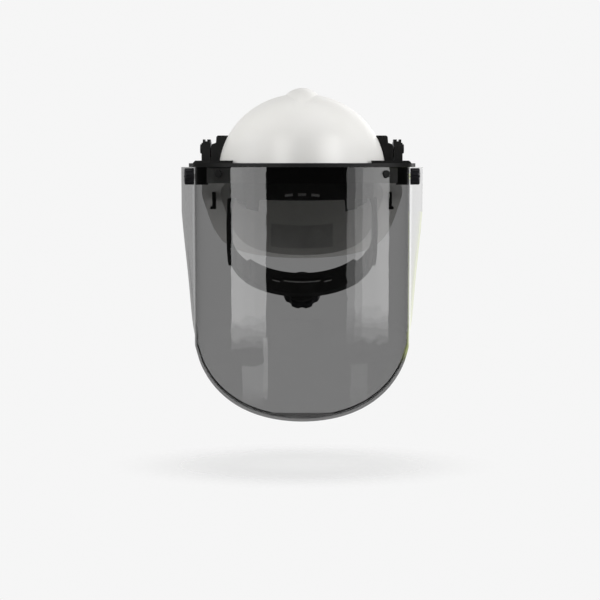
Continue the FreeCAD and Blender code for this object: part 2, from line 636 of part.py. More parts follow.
# ---- Visor -----------------------------------------------------------------------------------
def visor_side_points(inset):
    """The lower edge seen from the side, chin to top rear corner, moved up by inset."""
    rises = [(-183.2, -1.0), (-173.0, 11.7), (-164.5, 23.6), (-156.4, 35.5), (-148.4, 47.5), (-140.2, 59.8),
             (-131.0, 72.0), (-120.0, 77.0), (-98.0, 81.0), (-80.0, 88.5), (-66.0, 107.0), (-50.0, 139.0),
             (-27.0, 177.0), (VISOR_REAR_Y, 219.0)]
    low = VISOR_TOP - VISOR_HEIGHT + inset
    return [Vector(-FAR, y, low + rise) for y, rise in rises]


def below_edge(inset):
    """Everything under the visor's lower edge, raised by inset."""
    points = visor_side_points(inset)
    curve = Part.BSplineCurve()
    curve.interpolate(points)
    low = VISOR_TOP - VISOR_HEIGHT - 60.0
    first = points[0]
    last = points[-1]
    corners = [last, Vector(-FAR, 20, last.z + 40), Vector(-FAR, 20, low), Vector(-FAR, -230, low),
               Vector(-FAR, -230, first.z - 20), first]
    lines = [Part.makeLine(a, b) for a, b in zip(corners, corners[1:])]
    return face_of([curve.toShape()] + lines).extrude(Vector(2 * FAR, 0, 0))


def clamp_frame(shape):
    """Move a piece built along +X about the origin to the left clamp point, facing out of the sheet."""
    swing = math.asin((CLAMP_Y - VISOR_BEND_Y) / FLARE_RADIUS)
    x = VISOR_HALF_WIDTH + FLARE_RADIUS * (1 - math.cos(swing))
    placed = shape.copy()
    placed.rotate(Vector(0, 0, 0), Vector(0, 0, 1), -math.degrees(swing))
    placed.translate(Vector(x, CLAMP_Y, CLAMP_Z))
    return placed


def rivet_frame(shape, side):
    """Move a piece built along -Y about the origin to a rivet place on the visor's front."""
    t = math.radians(41.0)
    x = VISOR_HALF_WIDTH * math.cos(t)
    y = VISOR_BEND_Y - VISOR_BEND_DEPTH * math.sin(t)
    normal = math.degrees(math.atan2(VISOR_BEND_DEPTH * math.cos(t), VISOR_HALF_WIDTH * math.sin(t)))
    placed = shape.copy()
    placed.rotate(Vector(0, 0, 0), Vector(0, 0, 1), side * normal)
    placed.translate(Vector(side * x, y, RIM_Z - 9.7))
    return placed


def rivet_holes():
    return [rivet_frame(rod(RIVET_RADIUS + 0.1, (0, -10, 0), (0, 10, 0)), side) for side in (-1, 1)]


def make_visor():
    """The bent sheet: open behind, with round lower corners and four fixing holes."""
    half = VISOR_THICK / 2.0
    sheet = plan_band(-half, half, VISOR_REAR_Y, VISOR_TOP - VISOR_HEIGHT - 5, VISOR_TOP)
    sheet = sheet.cut(below_edge(0))
    stud_hole = clamp_frame(rod(3.0, (-10, 0, 0), (10, 0, 0)))
    sheet = sheet.cut(stud_hole).cut(mirrored(stud_hole))
    for hole in rivet_holes():
        sheet = sheet.cut(hole)
    return sheet


def make_edge_strip():
    """A narrow stiffening strip inside the visor's lower edge, with a level top at the chin."""
    band = plan_band(-2.1, -1.05, -30.0, VISOR_TOP - VISOR_HEIGHT - 5, VISOR_TOP - 60)
    border = band.cut(below_edge(0.4)).common(below_edge(2.6))
    chin = band.cut(below_edge(0.4)).common(box(-38, 38, -FAR, 0, -FAR, VISOR_TOP - VISOR_HEIGHT + 8.2))
    return border.fuse(chin).removeSplitter()


def make_clamp_block():
    """The left block inside the sheet that the clamp stud stands in."""
    block = box(-14.6, -1.1, -9.5, 9.5, -9.3, 9.3)
    block = block.makeFillet(2.0, [e for e in block.Edges if abs(e.BoundBox.XLength - 13.5) < 0.01])
    neck = box(-12.0, -2.0, -7.0, 7.0, 8.0, 12.4)
    block = block.fuse(neck).cut(rod(2.5, (-12.5, 0, 0), (0, 0, 0)))
    return clamp_frame(block)


def make_clamp_stud():
    return clamp_frame(rod(2.5, (-12.5, 0, 0), (8.0, 0, 0)))


def make_visor_knob():
    """The left clamp knob: a fluted cap that turns on the stud."""
    start = 1.35
    knob = rod(KNOB_RADIUS, (start, 0, 0), (start + KNOB_THICK, 0, 0))
    outer = [e for e in knob.Edges if abs(e.CenterOfMass.x - start - KNOB_THICK) < 0.01]
    knob = knob.makeFillet(1.6, outer)
    flutes = 12
    for index in range(flutes):
        flute = rod(1.5, (start + 2.2, KNOB_RADIUS + 0.7, 0), (start + KNOB_THICK + 1, KNOB_RADIUS + 0.7, 0))
        flute.rotate(Vector(0, 0, 0), Vector(1, 0, 0), index * 360.0 / flutes)
        knob = knob.cut(flute)
    knob = knob.cut(rod(2.5 + SHAFT_CLEARANCE, (0, 0, 0), (8.3, 0, 0)))
    grip = box(start + KNOB_THICK - 1.4, start + KNOB_THICK + 1, -5.0, 5.0, -1.1, 1.1)
    return clamp_frame(knob.cut(grip))


def make_visor_rivets():
    """Two snap rivets that pin the sheet to the skirt."""
    rivet = rod(RIVET_RADIUS, (0, -2.0, 0), (0, 5.5, 0))
    head = rod(4.2, (0, -1.05, 0), (0, -2.4, 0))
    head = head.makeFillet(0.8, [e for e in head.Edges if abs(e.CenterOfMass.y + 2.4) < 0.01])
    rivet = rivet.fuse(head)
    return Part.Compound([rivet_frame(rivet, side) for side in (-1, 1)])


def main():
    os.makedirs("parts", exist_ok=True)
    export(make_shell(), "shell")
    export(make_rear_label(), "rear_label")
    strap_angle = 51.0
    export(make_crown_strap(strap_angle, 0.0), "crown_strap_a")
    export(make_crown_strap(180.0 - strap_angle, 1.8), "crown_strap_b")
    export(make_keys(), "suspension_keys")
    export(make_headband(), "headband")
    export(make_hangers(), "headband_hangers")
    export(make_brow_pad(), "brow_pad")
    export(make_ratchet_housing(), "ratchet_housing")
    export(make_ratchet_cover(), "ratchet_cover")
    export(make_detent_spring(), "detent_spring")
    export(make_ratchet_knob(), "ratchet_knob")
    export(make_pinion(), "ratchet_pinion")
    export(make_ratchet_screw(), "ratchet_screw")
    export(in_band(make_tail(LEFT_TAIL_RADIUS, 1)), "left_band_tail")
    export(in_band(mirrored(make_tail(RIGHT_TAIL_RADIUS, -1))), "right_band_tail")

    export(make_crown_guard(), "crown_guard")
    export(make_visor(), "visor")
    export(make_edge_strip(), "visor_edge_strip")
    export(make_visor_rivets(), "visor_rivets")
    export(make_upright_screws(), "upright_screws")
    paired = {
        "slot_adapter": make_slot_adapter(),
        "pivot_pin": make_pivot_pin(),
        "friction_washer": make_friction_washer(),
        "pivot_upright": make_upright(),
        "clamp_block": make_clamp_block(),
        "clamp_stud": make_clamp_stud(),
        "visor_knob": make_visor_knob(),
    }
    for name, shape in paired.items():
        export(shape, "left_" + name)
        export(mirrored(shape), "right_" + name)


main()
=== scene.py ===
import math

import bmesh
import bpy
from mathutils import Matrix, Vector
from mathutils.bvhtree import BVHTree


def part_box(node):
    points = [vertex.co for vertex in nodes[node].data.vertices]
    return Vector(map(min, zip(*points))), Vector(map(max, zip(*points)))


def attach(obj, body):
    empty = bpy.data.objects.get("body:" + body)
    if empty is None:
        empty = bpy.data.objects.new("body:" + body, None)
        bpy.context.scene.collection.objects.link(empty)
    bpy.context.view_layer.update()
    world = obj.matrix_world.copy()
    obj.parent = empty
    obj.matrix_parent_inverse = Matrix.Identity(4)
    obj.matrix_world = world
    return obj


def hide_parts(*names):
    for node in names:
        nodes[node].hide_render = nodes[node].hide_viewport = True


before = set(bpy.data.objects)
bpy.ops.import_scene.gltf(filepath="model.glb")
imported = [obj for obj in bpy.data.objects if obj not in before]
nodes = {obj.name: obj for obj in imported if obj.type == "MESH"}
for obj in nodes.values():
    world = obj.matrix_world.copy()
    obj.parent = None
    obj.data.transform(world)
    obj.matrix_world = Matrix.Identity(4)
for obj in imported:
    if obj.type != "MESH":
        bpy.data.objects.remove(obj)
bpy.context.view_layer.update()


# ---- Named places, taken from the frame ------------------------------------------------------
RIM_ABOVE_VISOR = 0.0024   # the sheet stops this far below the carrier's rim
FLOOR_BELOW_VISOR = 0.079  # the shield hangs this far above the floor

rim_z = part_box("visor")[1][2] + RIM_ABOVE_VISOR
floor_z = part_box("visor")[0][2] - FLOOR_BELOW_VISOR


# ---- Node helpers ----------------------------------------------------------------------------
def new_material(name):
    """A new material, its node tree and its Principled shader."""
    material = bpy.data.materials.new(name)
    material.use_nodes = True
    tree = material.node_tree
    return material, tree, tree.nodes["Principled BSDF"]


def object_space(tree):
    """Object coordinates, which are metres in the frame."""
    return tree.nodes.new("ShaderNodeTexCoord").outputs["Object"]


def split(tree, vector):
    """The x, y and z sockets of a vector."""
    parts = tree.nodes.new("ShaderNodeSeparateXYZ")
    tree.links.new(vector, parts.inputs["Vector"])
    return parts.outputs["X"], parts.outputs["Y"], parts.outputs["Z"]


def maths(tree, operation, *operands):
    """A Math node; each operand is a socket or a number."""
    node = tree.nodes.new("ShaderNodeMath")
    node.operation = operation
    for socket, operand in zip(node.inputs, operands):
        if isinstance(operand, (int, float)):
            socket.default_value = operand
        else:
            tree.links.new(operand, socket)
    return node.outputs["Value"]


def noise(tree, vector, scale, detail=3.0, roughness=0.55):
    node = tree.nodes.new("ShaderNodeTexNoise")
    node.inputs["Scale"].default_value = scale
    node.inputs["Detail"].default_value = detail
    node.inputs["Roughness"].default_value = roughness
    tree.links.new(vector, node.inputs["Vector"])
    return node.outputs["Fac"]


def spread(tree, value, low, high, start=0.3, end=0.7, curve="LINEAR"):
    """low to high as value goes from start to end."""
    node = tree.nodes.new("ShaderNodeMapRange")
    node.interpolation_type = curve
    node.inputs["From Min"].default_value = start
    node.inputs["From Max"].default_value = end
    node.inputs["To Min"].default_value = low
    node.inputs["To Max"].default_value = high
    tree.links.new(value, node.inputs["Value"])
    return node.outputs["Result"]


def between(tree, value, low, high, soft):
    """1 where value lies between low and high, with soft edges."""
    return maths(tree, "MULTIPLY", spread(tree, value, 0.0, 1.0, low - soft, low + soft),
                 spread(tree, value, 1.0, 0.0, high - soft, high + soft))


def two_colours(tree, value, dark, light, start=0.35, end=0.65):
    ramp = tree.nodes.new("ShaderNodeValToRGB")
    ramp.color_ramp.elements[0].position = start
    ramp.color_ramp.elements[0].color = (*dark, 1.0)
    ramp.color_ramp.elements[1].position = end
    ramp.color_ramp.elements[1].color = (*light, 1.0)
    tree.links.new(value, ramp.inputs["Fac"])
    return ramp.outputs["Color"]


def paint(tree, shader, value, dark, light, start=0.35, end=0.65):
    tree.links.new(two_colours(tree, value, dark, light, start, end), shader.inputs["Base Color"])


def roughen(tree, shader, value, low, high):
    tree.links.new(spread(tree, value, low, high), shader.inputs["Roughness"])


def paint_light_over(tree, shader, mask, colour):
    """Mix a second colour, painted light, over the base colour where the mask is 1."""
    mix = tree.nodes.new("ShaderNodeMixRGB")
    tree.links.new(mask, mix.inputs["Fac"])
    tree.links.new(shader.inputs["Base Color"].links[0].from_socket, mix.inputs["Color1"])
    mix.inputs["Color2"].default_value = (*colour, 1.0)
    tree.links.new(mix.outputs["Color"], shader.inputs["Base Color"])


def bump(tree, shader, height, strength, distance):
    node = tree.nodes.new("ShaderNodeBump")
    node.inputs["Strength"].default_value = strength
    node.inputs["Distance"].default_value = distance
    tree.links.new(height, node.inputs["Height"])
    tree.links.new(node.outputs["Normal"], shader.inputs["Normal"])


def mixed(tree, share, first, second):
    """A shader that is the first where share is 0 and the second where it is 1."""
    mix = tree.nodes.new("ShaderNodeMixShader")
    tree.links.new(share, mix.inputs["Fac"])
    tree.links.new(first, mix.inputs[1])
    tree.links.new(second, mix.inputs[2])
    return mix.outputs["Shader"]


def grey(level):
    return (level, level, level)


# ---- Hard materials --------------------------------------------------------------------------
# Colours are linear, and distances and places are in metres.
def moulded_plastic(name, dark, light, rough, grain_scale, grain_strength, specular=0.5):
    """Moulded plastic: faint colour drift, uneven gloss and a fine spark-eroded grain.

    rough is its lowest and highest roughness; a higher grain_scale gives a finer grain.
    """
    material, tree, shader = new_material(name)
    space = object_space(tree)
    paint(tree, shader, noise(tree, space, scale=28.0, detail=4.0), dark, light)
    roughen(tree, shader, noise(tree, space, scale=90.0, detail=5.0, roughness=0.6), *rough)
    shader.inputs["Specular IOR Level"].default_value = specular
    bump(tree, shader, noise(tree, space, grain_scale, detail=2.0), grain_strength, distance=0.0002)
    return material


def fitting_black(name):
    """The black nylon of the carrier and of the fittings beside the shell."""
    dark, light = grey(0.0045), (0.0075, 0.0075, 0.007)
    return moulded_plastic(name, dark, light, (0.40, 0.54), 1500.0, grain_strength=0.25, specular=0.16)


# Painted light: a grey that stands for the light the skirt's ends show behind the sheet; the crown guard
# itself is black.
SKIRT_PAINTED_LIGHT = (0.42, 0.42, 0.41)
PAINTED_LIGHT_BEGINS = (0.055, 0.075)    # how far out to the sides the painted light on the skirt begins
PAINTED_LIGHT_STOPS = (0.1030, 0.1036)   # and where the painted light stops and the skirt is black again, short of the arms
PAINTED_LIGHT_TOP = (-0.0035, -0.0025)   # the painted light stays below this, under the carrier's plate, from the rim


def guard_black():
    """The crown guard, black nylon; painted light greys its skirt towards its ends, behind the sheet."""
    material = fitting_black("guard_black")
    tree = material.node_tree
    x, _, z = split(tree, object_space(tree))
    outwards = maths(tree, "ABSOLUTE", x)
    ends = maths(tree, "MULTIPLY", spread(tree, outwards, 0.0, 1.0, *PAINTED_LIGHT_BEGINS),
                 spread(tree, outwards, 1.0, 0.0, *PAINTED_LIGHT_STOPS))
    below = spread(tree, z, 1.0, 0.0, rim_z + PAINTED_LIGHT_TOP[0], rim_z + PAINTED_LIGHT_TOP[1])
    # Painted light: grey over the skirt's ends, where they look lit.
    paint_light_over(tree, tree.nodes["Principled BSDF"], maths(tree, "MULTIPLY", ends, below), SKIRT_PAINTED_LIGHT)
    return material


BAND_TILT = math.radians(36.0)
BAND_PLACE = Vector((0.0, -0.019, -0.064))
BAND_END = 0.022                # from the band's middle to the centre of each round end
HOOK_PROUD = (0.0854, 0.0857)   # only the hooks stand this far from the front end's centre
HOOK_ROW = (0.024, 0.026)       # the outer two hooks end this far to the sides
HOOK_GLINT_LEVELS = (0.0025, 0.0060)    # the painted highlight's lowest and highest level on the band
MIDDLE_GLINT_LEVELS = (0.0158, 0.0177)   # levels of the painted highlight on the band, just under the middle window
MIDDLE_END = (0.021, 0.024)     # how far the painted highlight on its lip goes to the sides
SIDE_GLINT_LEVELS = (0.0133, 0.0152)     # levels of the painted highlight, just under the two side windows
SIDE_SPAN = (0.0275, 0.0365)    # from the nearer to the further end of a side window's lip


def band_space(tree):
    """Object coordinates turned level with the headband, which hangs lower at the nape."""
    mapping = tree.nodes.new("ShaderNodeMapping")
    mapping.inputs["Rotation"].default_value = (BAND_TILT, 0.0, 0.0)
    mapping.inputs["Location"].default_value = -(Matrix.Rotation(BAND_TILT, 3, "X") @ BAND_PLACE)
    tree.links.new(object_space(tree), mapping.inputs["Vector"])
    return split(tree, mapping.outputs["Vector"])


def band_black(name):
    return moulded_plastic(name, grey(0.012), grey(0.020), (0.42, 0.6), 900.0, grain_strength=0.15)


def hooked_band():
    """The headband; painted highlights on its three small front hooks stand for glints of light."""
    material = band_black("band_painted_glints")
    tree = material.node_tree
    x, y, z = band_space(tree)
    ahead = maths(tree, "ADD", y, BAND_END)
    square = maths(tree, "ADD", maths(tree, "MULTIPLY", x, x), maths(tree, "MULTIPLY", ahead, ahead))
    proud = spread(tree, maths(tree, "SQRT", square), 0.0, 1.0, *HOOK_PROUD)
    near = spread(tree, maths(tree, "ABSOLUTE", x), 1.0, 0.0, *HOOK_ROW)
    hooks = maths(tree, "MULTIPLY", proud, near)
    hook_glints = maths(tree, "MULTIPLY", hooks, between(tree, z, *HOOK_GLINT_LEVELS, soft=0.0006))
    # Painted highlight: pale grey on the hook tips stands for glints of light.
    paint_light_over(tree, tree.nodes["Principled BSDF"], hook_glints, grey(0.62))
    return material


def windowed_cover():
    """The ratchet cover; painted highlights on the lower lips of its three windows stand for glints of light
    from above.
    """
    material = band_black("cover_painted_glints")
    tree = material.node_tree
    x, _, z = band_space(tree)
    outwards = maths(tree, "ABSOLUTE", x)
    middle = maths(tree, "MULTIPLY", between(tree, z, *MIDDLE_GLINT_LEVELS, soft=0.0002),
                   spread(tree, outwards, 1.0, 0.0, *MIDDLE_END))
    sides = maths(tree, "MULTIPLY", between(tree, z, *SIDE_GLINT_LEVELS, soft=0.0002),
                  between(tree, outwards, *SIDE_SPAN, soft=0.0005))
    window_glints = maths(tree, "MAXIMUM", middle, sides)
    # Painted highlight: near-white on the window lips stands for glints of light from above.
    paint_light_over(tree, tree.nodes["Principled BSDF"], window_glints, (0.80, 0.80, 0.79))
    return material


def shell_white():
    """Glossy moulded polyethylene: slightly warm white with a soft orange-peel surface."""
    material, tree, shader = new_material("shell_white")
    space = object_space(tree)
    drift = noise(tree, space, scale=9.0, detail=4.0)
    paint(tree, shader, drift, (0.795, 0.785, 0.755), (0.83, 0.822, 0.80))
    roughen(tree, shader, noise(tree, space, scale=60.0, detail=6.0, roughness=0.65), 0.30, 0.42)
    shader.inputs["Coat Weight"].default_value = 0.12
    shader.inputs["Coat Roughness"].default_value = 0.12
    bump(tree, shader, noise(tree, space, scale=260.0, detail=2.0), strength=0.05, distance=0.0004)
    return material


REFRACTIVE_INDEX = 1.5
HAZE_SHARE = 0.985              # what the haze leaves of the tint where it is thickest
SMEAR_ROUGHNESS = 0.03          # how much rougher the sheet is where it is smeared
# Painted glow: the yellow-green colour and emission of the cut edge, on one side only.
PAINTED_EDGE_GLOW = (0.74, 0.82, 0.36)
PAINTED_GLOW_STRENGTH = 0.7               # strength of the painted glow, an emission on the cut edge
EDGE_SLOPE = (0.15, 0.25)       # the cut edge is where the sheet's own normal tilts up or down this much
PAINTED_GLOW_SIDE = (0.06, 0.11)        # the painted glow comes in between these distances to the wearer's left
PAINTED_GLOW_FOOT = (-0.220, -0.205)    # and between these heights, from the rim


def edge_masks(tree, space, geometry):
    """Where a sheet shows its cut edge, and where the painted glow goes on that edge."""
    own_normal = tree.nodes.new("ShaderNodeVectorTransform")
    own_normal.vector_type = "NORMAL"
    own_normal.convert_from = "WORLD"
    own_normal.convert_to = "OBJECT"
    tree.links.new(geometry.outputs["Normal"], own_normal.inputs["Vector"])
    slope = maths(tree, "ABSOLUTE", split(tree, own_normal.outputs["Vector"])[2])
    x, _, z = split(tree, space)
    side = spread(tree, x, 0.0, 1.0, *PAINTED_GLOW_SIDE)
    upper = spread(tree, z, 0.0, 1.0, rim_z + PAINTED_GLOW_FOOT[0], rim_z + PAINTED_GLOW_FOOT[1])
    painted_glow = maths(tree, "MULTIPLY", side, upper)
    outside = maths(tree, "SUBTRACT", 1.0, geometry.outputs["Backfacing"])
    shown = maths(tree, "MAXIMUM", outside, painted_glow)
    return maths(tree, "MULTIPLY", spread(tree, slope, 0.0, 1.0, *EDGE_SLOPE), shown), painted_glow


def visor_sheet(name, tint, gloss, edge_tone):
    """Tinted polycarbonate: light passes straight through, dimmed, under a thin mirror gloss.

    The cut edges are grey; on the side that faces the key light they carry a painted yellow-green glow, an
    emission that stands for gathered light.
    """
    material, tree, edge = new_material(name)
    space = object_space(tree)
    through = tree.nodes.new("ShaderNodeBsdfTransparent")
    haze = noise(tree, space, scale=7.0)
    low = tuple(channel * HAZE_SHARE for channel in tint)
    tree.links.new(two_colours(tree, haze, low, tint), through.inputs["Color"])
    mirror = tree.nodes.new("ShaderNodeBsdfGlossy")
    smear = noise(tree, space, scale=18.0, detail=5.0, roughness=0.6)
    roughen(tree, mirror, smear, gloss, gloss + SMEAR_ROUGHNESS)
    mirror.inputs["Color"].default_value = (*grey(0.95), 1.0)
    geometry = tree.nodes.new("ShaderNodeNewGeometry")
    fresnel = tree.nodes.new("ShaderNodeFresnel")
    index = spread(tree, geometry.outputs["Backfacing"], REFRACTIVE_INDEX, 1.0 / REFRACTIVE_INDEX, 0.0, 1.0)
    tree.links.new(index, fresnel.inputs["IOR"])
    sheet = mixed(tree, fresnel.outputs["Fac"], through.outputs["BSDF"], mirror.outputs["BSDF"])

    on_edge, painted_glow = edge_masks(tree, space, geometry)
    paint(tree, edge, painted_glow, grey(edge_tone), PAINTED_EDGE_GLOW, 0.1, 0.9)
    # Painted glow: this emission stands for light the cut edge gathers; the sheet is no lamp.
    edge.inputs["Emission Color"].default_value = (*PAINTED_EDGE_GLOW, 1.0)
    tree.links.new(maths(tree, "MULTIPLY", painted_glow, PAINTED_GLOW_STRENGTH), edge.inputs["Emission Strength"])
    roughen(tree, edge, smear, 0.25, 0.4)
    both = mixed(tree, on_edge, sheet, edge.outputs["BSDF"])
    tree.links.new(both, tree.nodes["Material Output"].inputs["Surface"])
    return material


def label_film():
    material, tree, shader = new_material("label_film")
    space = object_space(tree)
    paint(tree, shader, noise(tree, space, scale=40.0), (0.56, 0.56, 0.54), (0.64, 0.64, 0.62))
    roughen(tree, shader, noise(tree, space, scale=120.0), 0.4, 0.55)
    bump(tree, shader, noise(tree, space, scale=500.0), strength=0.05, distance=0.0001)
    return material


def zinc_steel():
    material, tree, shader = new_material("zinc_steel")
    space = object_space(tree)
    tone = noise(tree, space, scale=300.0, detail=4.0)
    paint(tree, shader, tone, (0.42, 0.42, 0.43), (0.58, 0.58, 0.60))
    roughen(tree, shader, noise(tree, space, scale=700.0), 0.25, 0.45)
    shader.inputs["Metallic"].default_value = 1.0
    return material


def assign(material, *names):
    for name in names:
        nodes[name].material_slots[0].material = material


def both_sides(*names):
    return [side + name for name in names for side in ("left_", "right_")]


def dress_cad_nodes():
    """Give every CAD node that shows its material."""
    fitting = fitting_black("fitting_black")
    band = band_black("band_black")
    dark, light = (0.006, 0.006, 0.008), (0.010, 0.010, 0.014)
    knob = moulded_plastic("knob_black", dark, light, (0.38, 0.52), 1800.0, grain_strength=0.3, specular=0.28)
    dark, light = grey(0.003), grey(0.005)
    rivet = moulded_plastic("rivet_black", dark, light, (0.45, 0.6), 1200.0, grain_strength=0.2, specular=0.1)
    assign(shell_white(), "shell")
    assign(guard_black(), "crown_guard")
    assign(fitting, *both_sides("slot_adapter", "pivot_upright", "clamp_block"))
    assign(hooked_band(), "headband")
    assign(windowed_cover(), "ratchet_cover")
    assign(band, "headband_hangers", "suspension_keys", *both_sides("band_tail"), "ratchet_housing",
           "ratchet_pinion")
    assign(knob, "ratchet_knob", *both_sides("visor_knob", "pivot_pin"))
    assign(rivet, "visor_rivets")
    assign(zinc_steel(), "detent_spring", "ratchet_screw", "upright_screws",
           *both_sides("friction_washer", "clamp_stud"))
    assign(visor_sheet("visor_grey", grey(0.468), gloss=0.0, edge_tone=0.06), "visor")
    assign(visor_sheet("edge_grey", grey(0.60), gloss=0.02, edge_tone=0.25), "visor_edge_strip")
    assign(label_film(), "rear_label")


# ---- Fabric ----------------------------------------------------------------------------------
TWILL_SHARE = 0.35         # how much the slanting twill shows beside the ribs of a weave
FUZZ_SHARE = 0.4


def woven(name, dark, light, threads_across, threads_along, strength):
    """Cloth whose threads follow the piece's own UV map, which is in metres across and along."""
    material, tree, shader = new_material(name)
    u, v, _ = split(tree, tree.nodes.new("ShaderNodeTexCoord").outputs["UV"])
    across = maths(tree, "MULTIPLY", u, threads_across * math.pi)
    along = maths(tree, "MULTIPLY", v, threads_along * math.pi)
    twill = maths(tree, "SINE", maths(tree, "ADD", across, along))
    ribs = maths(tree, "ABSOLUTE", maths(tree, "SINE", across))
    weave = maths(tree, "ADD", maths(tree, "MULTIPLY", twill, TWILL_SHARE), ribs)
    fuzz = noise(tree, object_space(tree), scale=2200.0, detail=2.0)
    height = maths(tree, "ADD", weave, maths(tree, "MULTIPLY", fuzz, FUZZ_SHARE))
    paint(tree, shader, height, dark, light, 0.2, 1.0)
    roughen(tree, shader, fuzz, 0.72, 0.9)
    shader.inputs["Sheen Weight"].default_value = 0.25
    shader.inputs["Sheen Roughness"].default_value = 0.5
    bump(tree, shader, height, strength, distance=0.0003)
    return material


def terry(name, dark, light):
    """Looped towelling for the sweat pad: small tufts in object space, since the pad has no UV map."""
    material, tree, shader = new_material(name)
    space = object_space(tree)
    loops = tree.nodes.new("ShaderNodeTexVoronoi")
    loops.inputs["Scale"].default_value = 900.0
    tree.links.new(space, loops.inputs["Vector"])
    tuft = maths(tree, "SUBTRACT", 1.0, loops.outputs["Distance"])
    wear = noise(tree, space, scale=45.0, detail=4.0)
    tone = maths(tree, "MULTIPLY", maths(tree, "ADD", tuft, wear), 0.5)
    paint(tree, shader, tone, dark, light, 0.3, 0.8)
    roughen(tree, shader, wear, 0.85, 0.98)
    shader.inputs["Sheen Weight"].default_value = 0.35
    shader.inputs["Sheen Roughness"].default_value = 0.6
    bump(tree, shader, tuft, strength=0.5, distance=0.0006)
    return material


def shade_smooth(mesh):
    for polygon in mesh.polygons:
        polygon.use_smooth = True


def new_piece(name, vertices, faces, material):
    mesh = bpy.data.meshes.new(name)
    mesh.from_pydata(vertices, [], faces)
    mesh.validate()
    mesh.update()
    mesh.materials.append(material)
    shade_smooth(mesh)
    piece = bpy.data.objects.new(name, mesh)
    bpy.context.scene.collection.objects.link(piece)
    return piece


def finished_mesh(piece):
    """The piece's mesh with its modifiers applied, as a new mesh."""
    graph = bpy.context.evaluated_depsgraph_get()
    return bpy.data.meshes.new_from_object(piece.evaluated_get(graph))


def apply_modifiers(piece):
    piece.data = finished_mesh(piece)
    piece.modifiers.clear()


def points_of(mesh):
    return [vertex.co.copy() for vertex in mesh.vertices]


def world_points(name):
    node = nodes[name]
    return [node.matrix_world @ vertex.co for vertex in node.data.vertices]


def surface_of(name):
    faces = [tuple(polygon.vertices) for polygon in nodes[name].data.polygons]
    return BVHTree.FromPolygons(world_points(name), faces)


PAD_VOXEL = 0.0026         # the pad is thinner than a seat cushion, so its remesh is finer
PAD_PRESSURE = 4.0
PAD_FRAMES = 20
PAD_SWELL = 0.0024         # how far any point of the pad may move
PAD_HELD = 0.0025          # points this near to the headband stay where they are
PAD_FREED = 0.004          # and points this much further off move freely
SEAM_INSET = 0.0042        # from the pad's lowest and highest point to its two seams
SEAM_HALF_WIDTH = 0.0018
SEAM_DEPTH = 0.0009


def swollen_points(pad):
    """Where the pad's points come to under pressure."""
    swollen = points_of(pad.data)
    cloth = pad.modifiers.new("cloth", "CLOTH")
    cloth.settings.use_pressure = True
    cloth.settings.uniform_pressure_force = PAD_PRESSURE
    cloth.settings.effector_weights.gravity = 0.0
    cloth.settings.quality = 4
    scene = bpy.context.scene
    for step in range(1, PAD_FRAMES + 1):
        scene.frame_set(step)
    swollen = points_of(finished_mesh(pad))
    pad.modifiers.clear()
    scene.frame_set(1)
    return swollen


def swell_pad(pad, band):
    """Move the pad's points towards their swollen places, less the nearer they are to the headband."""
    ends = swollen_points(pad)
    for vertex, end in zip(pad.data.vertices, ends):
        start = vertex.co.copy()
        free = min(1.0, max(0.0, (band.find_nearest(start)[3] - PAD_HELD) / PAD_FREED))
        shift = (end - start) * free
        if shift.length > PAD_SWELL:
            shift *= PAD_SWELL / shift.length
        vertex.co = start + shift


def sew_seams(pad, seams):
    """Press a groove into the pad at each of the levels."""
    normals = [vertex.normal.copy() for vertex in pad.data.vertices]
    for vertex, normal in zip(pad.data.vertices, normals):
        nearest = min(abs(vertex.co.z - level) for level in seams)
        vertex.co -= normal * SEAM_DEPTH * max(0.0, 1.0 - nearest / SEAM_HALF_WIDTH)


def make_sweat_pad():
    """The brow pad: flat where it backs onto the headband, swollen and stitched on the head's side."""
    pad = bpy.data.objects.new("brow_sweat_pad", nodes["brow_pad"].data.copy())
    bpy.context.scene.collection.objects.link(pad)
    remesh = pad.modifiers.new("remesh", "REMESH")
    remesh.mode = "VOXEL"
    remesh.voxel_size = PAD_VOXEL
    apply_modifiers(pad)
    heights = [point.z for point in points_of(pad.data)]
    swell_pad(pad, surface_of("headband"))
    relax = pad.modifiers.new("relax", "SMOOTH")
    relax.factor = 0.5
    relax.iterations = 3
    smooth = pad.modifiers.new("smooth", "SUBSURF")
    smooth.levels = 1
    apply_modifiers(pad)
    pad.data.update()
    sew_seams(pad, (min(heights) + SEAM_INSET, max(heights) - SEAM_INSET))
    pad.data.materials.clear()
    pad.data.materials.append(terry("terry_black", (0.010, 0.010, 0.011), (0.034, 0.034, 0.036)))
    shade_smooth(pad.data)
    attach(pad, "hat")
    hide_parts("brow_pad")


HAT_TILT = math.radians(18.0)
STRAP_WIDTH = 0.019
STRAP_THICK = 0.0014
STRAP_STEPS = 96
FOOT_HEIGHT = 0.0005       # points of a strap's solid this near to its lowest one are its two feet
LENGTH_STEPS = 60


